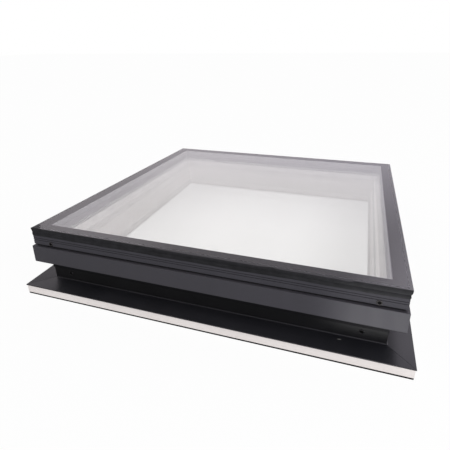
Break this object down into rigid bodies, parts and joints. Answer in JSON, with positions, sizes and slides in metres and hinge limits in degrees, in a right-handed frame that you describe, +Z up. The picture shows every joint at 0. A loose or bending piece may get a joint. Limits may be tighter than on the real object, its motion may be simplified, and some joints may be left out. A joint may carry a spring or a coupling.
{
  "type": "roof skylight",
  "caption": "Square fixed skylight for a flat roof: level white kerb with dark flashing, and on a tapered wedge a slightly sloping sealed glass unit with a black silicone edge.",
  "frame": {"origin": "middle of the underside of the base seal, where the skylight stands on the roof", "axes": "+Z up out of the roof, -Y towards the front side, +X to the right"},
  "size_m": [1.0666, 1.0666, 0.2075],
  "materials": {
    "seal_tape": "matt compressible tape",
    "white_profile": "satin white extruded plastic",
    "dark_sheet": "satin black coated sheet",
    "dark_cladding": "satin dark grey powder coat",
    "steel_tube": "galvanised",
    "cast_key": "as cast",
    "black_screw": "blackened",
    "black_seal": "matt",
    "white_seal": "matt white",
    "black_silicone": "hand tooled, slightly glossy",
    "packer_plastic": "moulded",
    "clear_glass": "clear float glass",
    "spacer_grey": "matt grey"
  },
  "bodies": {
    "root": {"base_seal_front": "seal_tape", "base_seal_left": "seal_tape", "base_seal_rear": "seal_tape", "base_seal_right": "seal_tape", "bedding_gasket": "white_seal", "corner_key_front_right": "cast_key", "corner_key_left_front": "cast_key", "corner_key_rear_left": "cast_key", "corner_key_right_rear": "cast_key", "edge_packers": "packer_plastic", "fall_wedge_front": "white_profile", "fall_wedge_left": "white_profile", "fall_wedge_rear": "white_profile", "fall_wedge_right": "white_profile", "flashing_front": "dark_sheet", "flashing_left": "dark_sheet", "flashing_rear": "dark_sheet", "flashing_right": "dark_sheet", "flashing_screws": "black_screw", "frame_front": "white_profile", "frame_gasket": "black_seal", "frame_left": "white_profile", "frame_rear": "white_profile", "frame_right": "white_profile", "glazing_bar_front": "dark_cladding", "glazing_bar_left": "dark_cladding", "glazing_bar_rear": "dark_cladding", "glazing_bar_right": "dark_cladding", "glazing_screws": "black_screw", "inner_pane": "clear_glass", "joint_seal": "black_seal", "kerb_front": "white_profile", "kerb_left": "white_profile", "kerb_rear": "white_profile", "kerb_right": "white_profile", "lower_edge_seal": "black_seal", "lower_spacer": "spacer_grey", "middle_pane": "clear_glass", "outer_pane": "clear_glass", "skirt_front": "dark_cladding", "skirt_left": "dark_cladding", "skirt_rear": "dark_cladding", "skirt_right": "dark_cladding", "stiffener_front": "steel_tube", "stiffener_left": "steel_tube", "stiffener_rear": "steel_tube", "stiffener_right": "steel_tube", "upper_edge_seal": "black_seal", "upper_spacer": "spacer_grey", "weather_bead": "black_silicone"}
  },
  "joints": []
}
